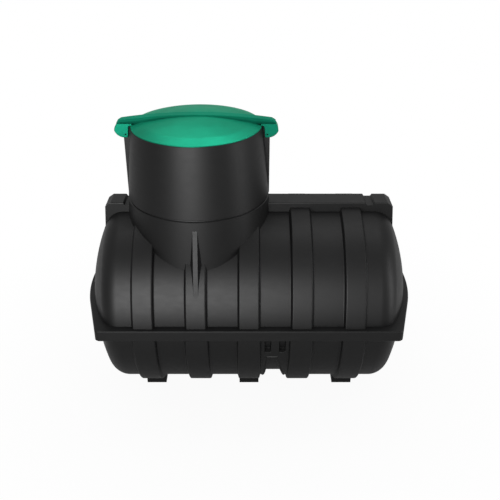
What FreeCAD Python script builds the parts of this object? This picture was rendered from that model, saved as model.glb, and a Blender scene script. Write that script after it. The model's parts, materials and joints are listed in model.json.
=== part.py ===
"""Underground storage tank: a ribbed moulded vessel lying on three feet, with an access neck and a lid.

Millimetres, +Z up. X runs along the vessel and Y across it. The origin lies on the floor under the
middle of the vessel.
"""
import FreeCAD
import Part
import math
import os
import Sketcher
from types import SimpleNamespace

# Driving dimensions: name, value, meaning. Heights are taken from the vessel's axis.
DRIVING = (
    ("foot_drop", 9, "floor below the ribs"),
    ("shell_radius", 525, "outside radius of the barrel between ribs"),
    ("shell_wall", 10, "thickness of the moulded wall"),
    ("dish_radius", 1050, "outside radius of the dished ends"),
    ("knuckle_radius", 105, "outside radius between barrel and dish"),
    ("end_reach", 900, "tip of a dished end from the middle of the vessel"),
    ("rib_setback", 338.4, "middle of the outermost ribs from the tips of the ends"),
    ("upper_rib_width", 105, "width of a rib across its top, above the axis plane"),
    ("lower_rib_width", 118, "width of a rib across its top, below the axis plane"),
    ("rib_height", 24, "height of a rib above the barrel"),
    ("rib_draft", 7, "run of a rib's sloping flank"),
    ("band_proud", 45, "front face of the waist band beyond the barrel"),
    ("band_height", 63, "height of the waist band, which stands on the axis plane"),
    ("band_end_proud", 27, "end of the waist band beyond the tip of the dished end"),
    ("band_end_radius", 1090, "plan radius of the waist band's ends"),
    ("band_end_angle", 15.2, "half angle of that round stretch, straight beyond it"),
    ("band_corner", 26, "plan rounding of the waist band's corners"),
    ("band_edge", 5, "bevel of the waist band's upper and lower edges"),
    ("band_joint", 160, "where the front and rear bands meet the end bands, short of the tip"),
    ("rail_proud", 48.5, "top of the crown rail above the barrel"),
    ("rail_width", 130, "width of the crown rail"),
    ("rail_setback", 135, "end of the crown rail's top from the tip of the dished end"),
    ("rail_chamfer", 31, "length of the chamfer at the rail's end"),
    ("rail_chamfer_drop", 22, "fall of that chamfer"),
    ("rail_skirt", 13, "slope of the rail's skirt beyond the chamfer"),
    ("rail_skirt_drop", 166, "fall of that skirt"),
    ("rail_edge", 6, "rounding of the rail's long edges"),
    ("slot_setback", 96, "middle of the rail's cross slot from the end of the rail's top"),
    ("slot_width", 54, "width of the cross slot at the top"),
    ("slot_depth", 14, "depth of the cross slot"),
    ("slot_draft", 9, "run of the cross slot's sloping sides"),
    ("neck_setback", 31.6, "left side of the collar from the end of the barrel"),
    ("collar_radius", 387, "outside radius of the moulded collar"),
    ("collar_rise", 87, "top of the collar above the barrel"),
    ("collar_flare", 0.07, "widening of the collar per length below its top"),
    ("neck_wall", 10, "thickness of the collar and the riser"),
    ("riser_taper", 36, "outside radius of the riser at its rim, less than at the collar by this"),
    ("riser_height", 388.4, "rim of the riser above the collar"),
    ("seam_bevel", 4, "bevel on both sides of the joint between collar and riser"),
    ("fin_proud", 2, "outer edge of a riser fin beyond the collar"),
    ("fin_thickness", 26, "thickness of a riser fin"),
    ("fin_drop", 8, "top of a riser fin below the rim"),
    ("gusset_edge", 24, "width of a gusset's outer edge"),
    ("gusset_draft", 20, "slope of a gusset's sides, in degrees"),
    ("gusset_rise", 174.6, "top of a gusset above the corner of collar and rib"),
    ("gusset_proud", 4.5, "outer edge of a gusset at its top, beyond the collar"),
    ("gusset_bite", 3.83, "foot of a gusset's outer edge under the face of the rib"),
    ("foot_length", 444, "length of a foot across the vessel"),
    ("foot_width", 116, "width of a foot along the vessel"),
    ("channel_shift", 1, "middle of the strap channel, right of the middle of its bay"),
    ("channel_crown", 50, "width of the strap channel's arch at its crown"),
    ("channel_flare", 0.11, "widening of each side of that arch per length downwards"),
    ("channel_drop", 155, "crown of the arch below the axis"),
    ("recess_depth", 34, "depth of the strap channel and of the pockets above it"),
    ("pocket_inner", 22, "inner side of a pocket from the middle of the channel"),
    ("pocket_outer", 57, "outer side of a pocket from the middle of the channel"),
    ("pocket_drop", 108, "lower end of a pocket below the axis"),
    ("lid_gap", 0.3, "seating gap under the lid"),
    ("lid_setback", 4, "edge of the lid inside the riser's rim"),
    ("lid_rim", 5, "height of the lid's rim"),
    ("lid_rise", 48, "height of the lid's crown above its rim"),
    ("lid_wall", 6, "thickness of the lid"),
    ("lid_edge", 2, "bevel of the lid's rim"),
    ("lip_clearance", 8, "gap between the lid's locating lip and the riser"),
    ("lip_depth", 24, "depth of the locating lip"),
    ("bar_overhang", 31, "end of the lid's cross bar beyond the riser's fins"),
    ("bar_width", 54, "width of the lid's cross bar"),
    ("bar_crown", 61, "top of the cross bar above the lid's seat, in the middle"),
    ("bar_end", 34, "top of the cross bar above the lid's seat, at its ends"),
    ("bar_edge", 4, "bevel of the cross bar's edges"),
    ("bar_base", 12, "underside of the cross bar's ends above the lid's seat"),
    ("ear_gap", 5.5, "gap between an ear and the riser or its fin"),
    ("ear_bulge", 14, "outermost point of an ear beyond the end of the cross bar"),
    ("ear_bulge_drop", 26, "that point below the lid's seat"),
    ("ear_drop", 62, "lower end of an ear below the lid's seat"),
    ("ear_foot", 26, "width of an ear at its lower end"),
    ("ear_bend", 60, "rounding of an ear's outer edge"),
    ("ear_cheek", 14, "thickness of each cheek of an ear, beside the fin"),
    ("ear_edge", 3, "bevel of an ear's outer edges"),
    ("ear_hole", 9, "bore for a locking pin through an ear"),
    ("ear_hole_rise", 17, "that bore above the ear's lower end"),
)
RIB_COUNT = 5


class Size:
    """A length that keeps its value and the sheet formula that gives it."""

    def __init__(self, value, text):
        self.value = float(value)
        self.text = text

    def __add__(self, other):
        other = as_size(other)
        return Size(self.value + other.value, f"({self.text} + {other.text})")

    def __sub__(self, other):
        other = as_size(other)
        return Size(self.value - other.value, f"({self.text} - {other.text})")

    def __rsub__(self, other):
        return as_size(other) - self

    def __mul__(self, other):
        other = as_size(other)
        return Size(self.value * other.value, f"({self.text} * {other.text})")

    def __truediv__(self, other):
        other = as_size(other)
        return Size(self.value / other.value, f"({self.text} / {other.text})")

    def __neg__(self):
        return Size(-self.value, f"(0 - {self.text})")

    __radd__ = __add__
    __rmul__ = __mul__


def as_size(number):
    """Lets plain numbers take part in size formulas."""
    return number if isinstance(number, Size) else Size(number, repr(number))


def root(size):
    return Size(math.sqrt(size.value), f"sqrt({size.text})")


def sine(degrees):
    return Size(math.sin(math.radians(degrees.value)), f"sin({degrees.text})")


def cosine(degrees):
    return Size(math.cos(math.radians(degrees.value)), f"cos({degrees.text})")


def arc_tangent(ratio):
    return Size(math.degrees(math.atan(ratio.value)), f"atan({ratio.text})")


def arc_cosine(ratio):
    return Size(math.degrees(math.acos(ratio.value)), f"acos({ratio.text})")


def tangent(degrees):
    return Size(math.tan(math.radians(degrees.value)), f"tan({degrees.text})")


ZERO = as_size(0)
doc = FreeCAD.newDocument("storage_tank")


def make_sheet():
    """Writes the driving dimensions to a sheet and returns them as sizes."""
    sheet = doc.addObject("Spreadsheet::Sheet", "Sizes")
    for row, (name, value, meaning) in enumerate(DRIVING, start=1):
        sheet.set(f"A{row}", meaning)
        sheet.set(f"B{row}", str(value))
        sheet.setAlias(f"B{row}", name)
    doc.recompute()
    return SimpleNamespace(**{name: Size(value, f"Sizes.{name}") for name, value, _ in DRIVING})


S = make_sheet()


# Helpers that make document objects bound to the sheet

def bind(thing, **sizes):
    for prop, size in sizes.items():
        thing.setExpression(prop, as_size(size).text)
    return thing


def place(thing, x=ZERO, y=ZERO, z=ZERO):
    for axis, size in zip("xyz", (x, y, z)):
        thing.setExpression(f"Placement.Base.{axis}", as_size(size).text)
    return thing


def box(label, x, y, z):
    """A block between two sizes along each axis."""
    block = doc.addObject("Part::Box", label)
    bind(block, Length=x[1] - x[0], Width=y[1] - y[0], Height=z[1] - z[0])
    return place(block, x[0], y[0], z[0])


def cylinder(label, radius, x, z):
    """An upright cylinder between two heights."""
    post = doc.addObject("Part::Cylinder", label)
    bind(post, Radius=radius, Height=z[1] - z[0])
    return place(post, x, ZERO, z[0])


def ball(label, radius, x, z, turn):
    """A ball, turned by an axis and an angle so that its poles and seam stay off the part."""
    sphere = doc.addObject("Part::Sphere", label)
    sphere.Placement.Rotation = FreeCAD.Rotation(*turn)
    bind(sphere, Radius=radius)
    return place(sphere, x, ZERO, z)


def boolean(kind, label, base, tool):
    result = doc.addObject(f"Part::{kind}", label)
    result.Base = base
    result.Tool = tool
    return result


def cut(label, base, *tools):
    for number, tool in enumerate(tools, start=1):
        last = number == len(tools)
        base = boolean("Cut", label if last else f"{label}_trim_{number}", base, tool)
    return base


def common(label, base, tool):
    return boolean("Common", label, base, tool)


def fuse(label, base, tool):
    return boolean("Fuse", label, base, tool)


def arc_between(start, end, radius, turn):
    """The arc from start to end, turning left (+1) or right (-1), less than half a circle."""
    chord = end - start
    half = chord.Length / 2
    lift = math.sqrt(max(radius**2 - half**2, 0))
    normal = FreeCAD.Vector(-chord.y, chord.x, 0).normalize()
    centre = start + chord * 0.5 + normal * (lift * turn)
    first, last = (start, end) if turn > 0 else (end, start)
    angles = [math.atan2(point.y - centre.y, point.x - centre.x) for point in (first, last)]
    circle = Part.Circle(centre, FreeCAD.Vector(0, 0, 1), radius)
    return Part.ArcOfCircle(circle, angles[0], angles[1])


def outline(body, plane, path):
    """A closed sketch on one of the body's origin planes.

    Each point of the path is (x, y) or (x, y, radius, turn), where the last two bend the side that
    leaves it.
    """
    sketch = body.newObject("Sketcher::SketchObject", f"{body.Label}_sketch")
    sketch.AttachmentSupport = [(next(f for f in body.Origin.OriginFeatures if f.Role == plane), "")]
    sketch.MapMode = "FlatFace"
    spots = [FreeCAD.Vector(point[0].value, point[1].value, 0) for point in path]
    starts = []
    for number, point in enumerate(path):
        ends = spots[number], spots[(number + 1) % len(path)]
        bent = len(point) == 4
        turn = point[3] if bent else 1
        side = arc_between(*ends, point[2].value, turn) if bent else Part.LineSegment(*ends)
        sketch.addGeometry(side, False)
        starts.append(1 if turn > 0 else 2)
    for number in range(len(path)):
        following = (number + 1) % len(path)
        joint = (number, 3 - starts[number], following, starts[following])
        sketch.addConstraint(Sketcher.Constraint("Coincident", *joint))
    for number, point in enumerate(path):
        for kind, size in zip(("DistanceX", "DistanceY"), point):
            rule = Sketcher.Constraint(kind, -1, 1, number, starts[number], size.value)
            bind(sketch, **{f"Constraints[{sketch.addConstraint(rule)}]": size})
        if len(point) == 4:
            rule = sketch.addConstraint(Sketcher.Constraint("Radius", number, point[2].value))
            bind(sketch, **{f"Constraints[{rule}]": point[2]})
    return sketch


def new_body(label):
    return doc.addObject("PartDesign::Body", label)


def revolved(label, path, axis, sweep=None):
    """A body turned from a path in the XZ plane, whole or as a sector about the drawn plane."""
    body = new_body(label)
    sketch = outline(body, "XZ_Plane", path)
    turning = body.newObject("PartDesign::Revolution", f"{label}_turn")
    turning.Profile = sketch
    turning.ReferenceAxis = (sketch, [axis])
    turning.Angle = 360
    if sweep is not None:
        turning.Midplane = True
        bind(turning, Angle=sweep)
    doc.recompute()
    return body


def padded(label, plane, path, length, midplane=False):
    body = new_body(label)
    pad = body.newObject("PartDesign::Pad", f"{label}_pad")
    pad.Profile = outline(body, plane, path)
    pad.Midplane = midplane
    bind(pad, Length=length)
    doc.recompute()
    return body


def dressed(kind, body, sizes, wanted):
    """Rounds or bevels the edges of a body that pass a test."""
    base = body.Tip
    edges = enumerate(base.Shape.Edges, start=1)
    names = [f"Edge{n}" for n, edge in edges if not edge.Degenerated and wanted(edge)]
    if not names:
        raise ValueError(f"{body.Label}: no edge to dress")
    feature = body.newObject(f"PartDesign::{kind}", f"{base.Label}_{kind.lower()}")
    feature.Base = (base, names)
    bind(feature, **sizes)
    doc.recompute()
    return body


def rounded(body, radius, wanted):
    return dressed("Fillet", body, {"Radius": radius}, wanted)


def bevelled(body, size, wanted):
    return dressed("Chamfer", body, {"Size": size}, wanted)


def near(a, b):
    return abs(a - b) < 0.01


# Vessel form: a turned barrel with five ribs, trimmed at both ends by the dishes

RIB_PITCH = (S.end_reach - S.rib_setback) / ((RIB_COUNT - 1) / 2)
RIB_PLACES = [RIB_PITCH * (number - (RIB_COUNT - 1) / 2) for number in range(RIB_COUNT)]
RIB_RADIUS = S.shell_radius + S.rib_height
AXIS = RIB_RADIUS + S.foot_drop
DISH_X = S.end_reach - S.dish_radius
KNUCKLE_R = S.shell_radius - S.knuckle_radius
DISH_SPAN = S.dish_radius - S.knuckle_radius
BARREL_END = DISH_X + root(DISH_SPAN * DISH_SPAN - KNUCKLE_R * KNUCKLE_R)


def end_path(inset):
    """Outline of the right end beyond the barrel: the knuckle in flat steps, then clear of the dish."""
    knuckle = S.knuckle_radius - inset
    blend = ((BARREL_END - DISH_X) / DISH_SPAN, KNUCKLE_R / DISH_SPAN)
    middle = (blend[0], blend[1] + 1)
    length = root(middle[0] * middle[0] + middle[1] * middle[1])
    start = (BARREL_END, S.shell_radius - inset)
    halfway = (BARREL_END + knuckle * middle[0] / length, KNUCKLE_R + knuckle * middle[1] / length)
    finish = (BARREL_END + knuckle * blend[0], KNUCKLE_R + knuckle * blend[1])
    steps = [start, halfway] if inset is ZERO else [start]
    beyond = (finish[0] * 2 - steps[-1][0], finish[1] * 2 - steps[-1][1])
    past_tip = S.end_reach + S.knuckle_radius
    return steps + [beyond, (past_tip, beyond[1]), (past_tip, ZERO)]


def vessel_path(rib_width):
    """Half outline of the vessel over the crown, from beyond its left tip to beyond its right tip."""
    right = end_path(ZERO)
    path = [(-x, r) for x, r in reversed(right)]
    half_top = rib_width / 2
    half_foot = half_top + S.rib_draft
    for middle in RIB_PLACES:
        path += [
            (middle - half_foot, S.shell_radius),
            (middle - half_top, RIB_RADIUS),
            (middle + half_top, RIB_RADIUS),
            (middle + half_foot, S.shell_radius),
        ]
    return path + right


def half_form(label, path, side):
    """Half of a turned form, above (+1) or below (-1) the plane through the axis."""
    drawn = [(x, side * r) for x, r in path]
    return place(revolved(label, drawn, "H_Axis", as_size(180)), z=AXIS)


SEAM_RIGHT = (FreeCAD.Vector(0, 0, 1), 0)
SEAM_LEFT = (FreeCAD.Vector(0, 0, 1), 180)
left_ball = ball("left_ball", S.dish_radius, -DISH_X, AXIS, SEAM_RIGHT)
right_ball = ball("right_ball", S.dish_radius, DISH_X, AXIS, SEAM_LEFT)


def make_outside(name, side, rib_width):
    """Outside of one half of the vessel, dishes included."""
    turned = half_form(f"turned_{name}", vessel_path(rib_width), side)
    return common(f"outside_{name}", common(f"dished_{name}", turned, left_ball), right_ball)


upper_outside = make_outside("upper", 1, S.upper_rib_width)
lower_outside = make_outside("lower", -1, S.lower_rib_width)
NECK_X = S.collar_radius + S.neck_setback - BARREL_END
NECK_TOP_RADIUS = S.collar_radius - S.riser_taper
FIN_REACH = S.collar_radius + S.fin_proud
LID_RADIUS = NECK_TOP_RADIUS - S.lid_setback
BAR_REACH = FIN_REACH + S.bar_overhang
COLLAR_LEVEL = S.shell_radius + S.collar_rise
RIM_LEVEL = COLLAR_LEVEL + S.riser_height
COLLAR_TOP = AXIS + COLLAR_LEVEL
neck_bore = cylinder("neck_bore", S.collar_radius - S.neck_wall, NECK_X, (AXIS, COLLAR_TOP))
COLLAR_BASE = S.collar_radius + COLLAR_LEVEL * S.collar_flare
neck_form = revolved("neck_form", [
    (ZERO, ZERO),
    (COLLAR_BASE, ZERO),
    (S.collar_radius, COLLAR_LEVEL - S.seam_bevel),
    (S.collar_radius, COLLAR_LEVEL),
    (ZERO, COLLAR_LEVEL),
], "V_Axis")
place(neck_form, NECK_X, ZERO, AXIS)

sub_parts = []


def keep(thing):
    """Marks an object as a sub-part of the tank."""
    sub_parts.append(thing)
    return thing


# Shell: the barrel in an upper and a lower half, and the dished ends

def half_drum(label, radius):
    """The lower half of a plain drum along the vessel's axis."""
    path = [(-BARREL_END, ZERO), (-BARREL_END, radius), (BARREL_END, radius), (BARREL_END, ZERO)]
    return half_form(label, path, -1)


def recess_form(label, kind, grow):
    """A prism across the vessel: the strap channel's arch or a pocket, grown by a wall where asked."""
    middle = (RIB_PLACES[2] + RIB_PLACES[3]) / 2 + S.channel_shift
    if kind == "channel":
        crown = S.channel_crown / 2 + grow
        top, bottom = grow - S.channel_drop, -AXIS
        spread = crown + (top - bottom) * S.channel_flare
        inner, outer, foot_inner, foot_outer = -crown, crown, -spread, spread
    else:
        side = -1 if kind == "left_pocket" else 1
        near_side, far_side = S.pocket_inner - grow, S.pocket_outer + grow
        inner, outer = (near_side, far_side) if side > 0 else (-far_side, -near_side)
        foot_inner, foot_outer = inner, outer
        top, bottom = grow - S.shell_wall, -S.pocket_drop - grow
    body = padded(label, "XZ_Plane", [
        (middle + foot_inner, bottom),
        (middle + foot_outer, bottom),
        (middle + outer, top),
        (middle + inner, top),
    ], RIB_RADIUS * 3, midplane=True)
    return place(body, z=AXIS)


def with_recesses(shell):
    """The lower barrel's shell with a walled strap channel and two pockets above it, front and rear."""
    wall_top = half_drum("recess_wall_top", S.shell_radius - S.shell_wall / 2)
    wall_foot = half_drum("recess_wall_foot", S.shell_radius - S.recess_depth - S.shell_wall)
    floor = half_drum("recess_floor", S.shell_radius - S.recess_depth)
    kinds = ("channel", "left_pocket", "right_pocket")
    for kind in kinds:
        grown = recess_form(f"{kind}_wall_form", kind, S.shell_wall)
        wall = cut(f"{kind}_wall", common(f"{kind}_wall_block", grown, wall_top), wall_foot)
        shell = fuse(f"{kind}_walled", shell, wall)
    spaces = [cut(f"{kind}_space", recess_form(f"{kind}_form", kind, ZERO), floor) for kind in kinds]
    return cut("lower_barrel", shell, *spaces)


def make_barrel():
    """Both halves of the barrel, the upper one open to the neck and the lower one with its channel."""
    across = (-RIB_RADIUS * 2, RIB_RADIUS * 2)
    heights = (ZERO - AXIS, AXIS * 3)
    slab = box("barrel_slab", (-BARREL_END, BARREL_END), across, heights)
    bore_radius = S.shell_radius - S.shell_wall
    past_end = BARREL_END + S.shell_wall
    bore_path = [(-past_end, ZERO), (-past_end, bore_radius), (past_end, bore_radius), (past_end, ZERO)]
    upper_bore = half_form("upper_bore", bore_path, 1)
    lower_bore = half_form("lower_bore", bore_path, -1)
    keep(cut("upper_barrel", common("upper_block", upper_outside, slab), upper_bore, neck_bore))

    plain = cut("lower_plain", common("lower_block", lower_outside, slab), lower_bore)
    keep(with_recesses(plain))


def make_ends():
    """Dished ends, each a shell that closes the barrel."""
    for label, side, outer_ball in (("left_end", -1, left_ball), ("right_end", 1, right_ball)):
        forms = []
        for name, inset in (("outer", ZERO), ("inner", S.shell_wall)):
            path = [(BARREL_END, ZERO)] + end_path(inset)
            turned = revolved(f"{label}_{name}_turned", [(side * x, r) for x, r in path], "H_Axis")
            place(turned, z=AXIS)
            dish = outer_ball
            if name == "inner":
                turn = SEAM_RIGHT if side < 0 else SEAM_LEFT
                dish = ball(f"{label}_inner_ball", S.dish_radius - inset, side * DISH_X, AXIS, turn)
            forms.append(common(f"{label}_{name}", turned, dish))
        keep(cut(label, *forms))


# Waist band: a plate all round the vessel, with bowed ends

def make_waist_band():
    angle = S.band_end_angle
    reach = S.shell_radius + S.band_proud
    bow_y = S.band_end_radius * sine(angle)
    bow_x = S.end_reach + S.band_end_proud - S.band_end_radius * (1 - cosine(angle))
    corner_x = bow_x - (reach - bow_y) * tangent(angle)
    band = padded("band_form", "XY_Plane", [
        (-corner_x, -reach),
        (corner_x, -reach),
        (bow_x, -bow_y, S.band_end_radius, 1),
        (bow_x, bow_y),
        (corner_x, reach),
        (-corner_x, reach),
        (-bow_x, bow_y, S.band_end_radius, 1),
        (-bow_x, -bow_y),
    ], S.band_height)
    upright = FreeCAD.Vector(0, 0, 1)

    def is_corner(edge):
        at_side = near(abs(edge.Vertexes[0].Y), reach.value)
        return at_side and near(abs(edge.tangentAt(edge.FirstParameter).dot(upright)), 1)

    rounded(band, S.band_corner, is_corner)
    bevelled(band, S.band_edge, lambda edge: all(near(v.Z, S.band_height.value) for v in edge.Vertexes))
    bevelled(band, S.band_edge, lambda edge: all(near(v.Z, 0) for v in edge.Vertexes))
    place(band, z=AXIS)
    ring = cut("band_ring", band, upper_outside)
    heights = (AXIS - S.band_height, AXIS + S.band_height * 2)
    wide = S.end_reach * 2
    joint = S.end_reach - S.band_joint
    spans = (
        ("waist_front", (-joint, joint), (-wide, ZERO)),
        ("waist_rear", (-joint, joint), (ZERO, wide)),
        ("waist_left", (-wide, -joint), (-wide, wide)),
        ("waist_right", (joint, wide), (-wide, wide)),
    )
    for label, x, y in spans:
        keep(common(label, ring, box(f"{label}_slab", x, y, heights)))


# Crown rail: a beam along the top, broken by the neck

def make_crown_rail():
    top = S.shell_radius + S.rail_proud
    end = S.end_reach - S.rail_setback
    shoulder = (end + S.rail_chamfer, top - S.rail_chamfer_drop)
    skirt = (shoulder[0] + S.rail_skirt, shoulder[1] - S.rail_skirt_drop)
    half = [skirt, shoulder, (end, top)]
    mirrored = [(-x, z) for x, z in reversed(half)]
    rail = padded("rail_form", "XZ_Plane", half + mirrored, S.rail_width, midplane=True)
    side = S.rail_width.value / 2
    rounded(rail, S.rail_edge, lambda edge: all(
        near(abs(v.Y), side) and near(v.Z, top.value) for v in edge.Vertexes))
    place(rail, z=AXIS)
    slots = []
    slot_x = end - S.slot_setback
    for label, middle in (("left_slot", -slot_x), ("right_slot", slot_x)):
        mouth = S.slot_width / 2
        floor = mouth - S.slot_draft
        over = top + S.slot_depth
        slot = padded(label, "XZ_Plane", [
            (middle - floor, top - S.slot_depth),
            (middle + floor, top - S.slot_depth),
            (middle + mouth + S.slot_draft, over),
            (middle - mouth - S.slot_draft, over),
        ], S.rail_width * 2, midplane=True)
        slots.append(place(slot, z=AXIS))
    trimmed = cut("rail_on_crown", rail, *slots, upper_outside, neck_form)
    deep = (AXIS, AXIS + top * 2)
    across = (-S.rail_width, S.rail_width)
    far = S.end_reach * 2
    keep(common("left_rail", trimmed, box("left_rail_slab", (-far, NECK_X), across, deep)))
    keep(common("right_rail", trimmed, box("right_rail_slab", (NECK_X, far), across, deep)))


# Neck: moulded collar, gussets, riser and its fins

def make_neck():
    inner = S.collar_radius - S.neck_wall
    bevel = S.seam_bevel
    collar = revolved("collar_form", [
        (COLLAR_BASE - S.neck_wall, ZERO),
        (COLLAR_BASE, ZERO),
        (S.collar_radius, COLLAR_LEVEL - bevel),
        (S.collar_radius - bevel, COLLAR_LEVEL),
        (inner, COLLAR_LEVEL),
    ], "V_Axis")
    place(collar, NECK_X, ZERO, AXIS)
    keep(cut("neck_collar", collar, upper_outside))

    top_radius = NECK_TOP_RADIUS
    riser = revolved("neck_riser", [
        (inner, COLLAR_LEVEL),
        (S.collar_radius - bevel, COLLAR_LEVEL),
        (S.collar_radius, COLLAR_LEVEL + bevel),
        (top_radius, RIM_LEVEL),
        (top_radius - S.neck_wall, RIM_LEVEL),
    ], "V_Axis")
    keep(place(riser, NECK_X, ZERO, AXIS))

    riser_form = revolved("riser_form", [
        (ZERO, COLLAR_LEVEL),
        (S.collar_radius - bevel, COLLAR_LEVEL),
        (S.collar_radius, COLLAR_LEVEL + bevel),
        (top_radius, RIM_LEVEL),
        (ZERO, RIM_LEVEL),
    ], "V_Axis")
    place(riser_form, NECK_X, ZERO, AXIS)
    fin_half = S.fin_thickness / 2
    heights = (COLLAR_TOP + bevel, AXIS + RIM_LEVEL - S.fin_drop)
    fins = (
        ("left_fin", (NECK_X - FIN_REACH, NECK_X)),
        ("right_fin", (NECK_X, NECK_X + FIN_REACH)),
    )
    for label, x in fins:
        block = box(f"{label}_block", x, (-fin_half, fin_half), heights)
        keep(cut(label, block, riser_form))


def make_gussets():
    """Drafted webs in the corner between the collar and the second rib, front and rear."""
    edge_half = S.gusset_edge / 2
    depth = S.collar_radius / 2
    root_half = edge_half + depth * tangent(S.gusset_draft)
    corner_level = root(RIB_RADIUS * RIB_RADIUS - S.collar_radius * S.collar_radius)
    rise = corner_level + S.gusset_rise
    reach = S.collar_radius + S.gusset_proud
    away = root(reach * reach + rise * rise)
    foot = RIB_RADIUS - S.gusset_bite
    lean = arc_tangent(rise / reach) - arc_cosine(foot / away)
    length = root(away * away - foot * foot)
    for label, side in (("front_gusset", -1), ("rear_gusset", 1)):
        path = [
            (-edge_half, ZERO),
            (edge_half, ZERO),
            (root_half, -side * depth),
            (-root_half, -side * depth),
        ]
        web = padded(f"{label}_web", "XY_Plane", path if side < 0 else path[::-1], length)
        web.Tip.Reversed = True
        place(web, NECK_X, side * reach, AXIS + rise)
        web.Placement.Rotation = FreeCAD.Rotation(FreeCAD.Vector(side, 0, 0), lean.value)
        bind(web, **{"Placement.Rotation.Angle": lean})
        keep(cut(label, web, upper_outside, neck_form))


# Feet: saddles under the first, third and fifth ribs

def make_feet():
    half_length = S.foot_length / 2
    half_width = S.foot_width / 2
    for label, rib in (("left_foot", 0), ("middle_foot", 2), ("right_foot", 4)):
        middle = RIB_PLACES[rib]
        x = (middle - half_width, middle + half_width)
        block = box(f"{label}_block", x, (-half_length, half_length), (ZERO, AXIS))
        keep(cut(label, block, lower_outside))


# Lid: dome with a locating lip, cross bar and ears

def make_lid():
    seat = AXIS + RIM_LEVEL + S.lid_gap
    rise, wall = S.lid_rise, S.lid_wall
    crown = S.lid_rim + rise
    dome_radius = (LID_RADIUS * LID_RADIUS + rise * rise) / (rise * 2)
    lip_radius = NECK_TOP_RADIUS - S.neck_wall - S.lip_clearance
    lip_inner = lip_radius - wall
    inner_dome = dome_radius - wall
    poles_along_x = (FreeCAD.Vector(0, 1, 0), 90)
    dome_z = seat + crown - dome_radius
    outer_ball = ball("lid_ball", dome_radius, NECK_X, dome_z, poles_along_x)
    inner_ball = ball("lid_inner_ball", inner_dome, NECK_X, dome_z, poles_along_x)
    bevel_run = S.lid_edge * 4
    over = crown + S.lid_rim
    turned = revolved("lid_turned", [
        (ZERO, -S.lip_depth),
        (lip_radius, -S.lip_depth),
        (lip_radius, ZERO),
        (LID_RADIUS, ZERO),
        (LID_RADIUS, S.lid_rim - S.lid_edge),
        (LID_RADIUS - bevel_run, S.lid_rim - S.lid_edge + bevel_run),
        (LID_RADIUS - bevel_run, over),
        (ZERO, over),
    ], "V_Axis")
    place(turned, NECK_X, ZERO, seat)
    form = common("lid_form", turned, outer_ball)
    hollow = cylinder("lid_hollow", lip_inner, NECK_X, (seat - S.lip_depth * 2, seat + over))
    keep(cut("lid_dome", form, common("lid_inside", hollow, inner_ball)))

    drop = S.bar_crown - S.bar_end
    bar_radius = (BAR_REACH * BAR_REACH + drop * drop) / (drop * 2)
    bar = padded("bar_form", "XZ_Plane", [
        (-BAR_REACH, S.bar_base),
        (BAR_REACH, S.bar_base),
        (BAR_REACH, S.bar_end, bar_radius, 1),
        (-BAR_REACH, S.bar_end),
    ], S.bar_width, midplane=True)
    bevelled(bar, S.bar_edge, lambda edge: all(v.Z > S.bar_base.value + 1 for v in edge.Vertexes))
    place(bar, NECK_X, ZERO, seat)
    keep(cut("lid_bar", bar, form))
    make_ears(seat, form)


def make_ears(seat, lid_form):
    """Ears that hang from the ends of the cross bar and straddle the riser's fins."""
    slope = S.riser_taper / S.riser_height
    inner_top = NECK_TOP_RADIUS + S.ear_gap
    inner = inner_top + S.ear_drop * slope
    plate_root = LID_RADIUS - S.lid_wall
    slot_half = S.fin_thickness / 2 + S.ear_gap
    width = (slot_half + S.ear_cheek) * 2
    tip = BAR_REACH + S.ear_bulge
    for label, side in (("left_ear", -1), ("right_ear", 1)):
        ear = padded(f"{label}_block", "XZ_Plane", [
            (side * inner, -S.ear_drop),
            (side * (inner + S.ear_foot), -S.ear_drop, S.ear_bend, side),
            (side * tip, -S.ear_bulge_drop, S.ear_bend, side),
            (side * BAR_REACH, S.bar_base),
            (side * plate_root, S.bar_base),
            (side * plate_root, ZERO),
            (side * inner_top, ZERO),
        ], width, midplane=True)
        half = width.value / 2

        def is_outer_edge(edge):
            on_face = all(near(abs(v.Y), half) for v in edge.Vertexes)
            below = all(v.Z < S.bar_base.value - 0.1 for v in edge.Vertexes)
            return on_face and (below or near(max(abs(v.X) for v in edge.Vertexes), tip.value))

        bevelled(ear, S.ear_edge, is_outer_edge)
        place(ear, NECK_X, ZERO, seat)
        reach = side * (FIN_REACH + S.ear_gap)
        x = (NECK_X, NECK_X + reach) if side > 0 else (NECK_X + reach, NECK_X)
        slot = box(f"{label}_slot", x, (-slot_half, slot_half), (seat - S.ear_drop * 2, seat))
        pin_x = NECK_X + side * (inner + S.ear_foot / 2)
        pin = cylinder(f"{label}_pin", S.ear_hole / 2, pin_x, (ZERO, width * 2))
        pin.Placement.Rotation = FreeCAD.Rotation(FreeCAD.Vector(1, 0, 0), 90)
        place(pin, pin_x, width, seat - S.ear_drop + S.ear_hole_rise)
        keep(cut(label, ear, slot, pin, lid_form))


def check_document():
    """Stops unless every object and every sub-part came out sound."""
    failed = [thing.Label for thing in doc.Objects if {"Invalid", "Error"} & set(thing.State)]
    for thing in sub_parts:
        if thing.Shape.isNull() or not thing.Shape.isValid() or not thing.Shape.Solids:
            failed.append(thing.Label)
    if failed:
        raise RuntimeError("not sound: " + ", ".join(failed))


make_barrel()
make_ends()
make_waist_band()
make_crown_rail()
make_neck()
make_gussets()
make_feet()
make_lid()
doc.recompute()
check_document()

os.makedirs("parts", exist_ok=True)
for thing in sub_parts:
    thing.Shape.exportStep(os.path.join("parts", f"{thing.Label}.step"))
    volume = thing.Shape.Volume / 1e6
    print(f"{thing.Label}: {len(thing.Shape.Solids)} solid, {volume:.3f} litres")
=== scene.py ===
"""Underground storage tank, dressed for a studio picture.

Metres, +Z up. X runs along the vessel, the viewer stands on the -Y side and the floor is at zero.
"""

import json
import math

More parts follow.
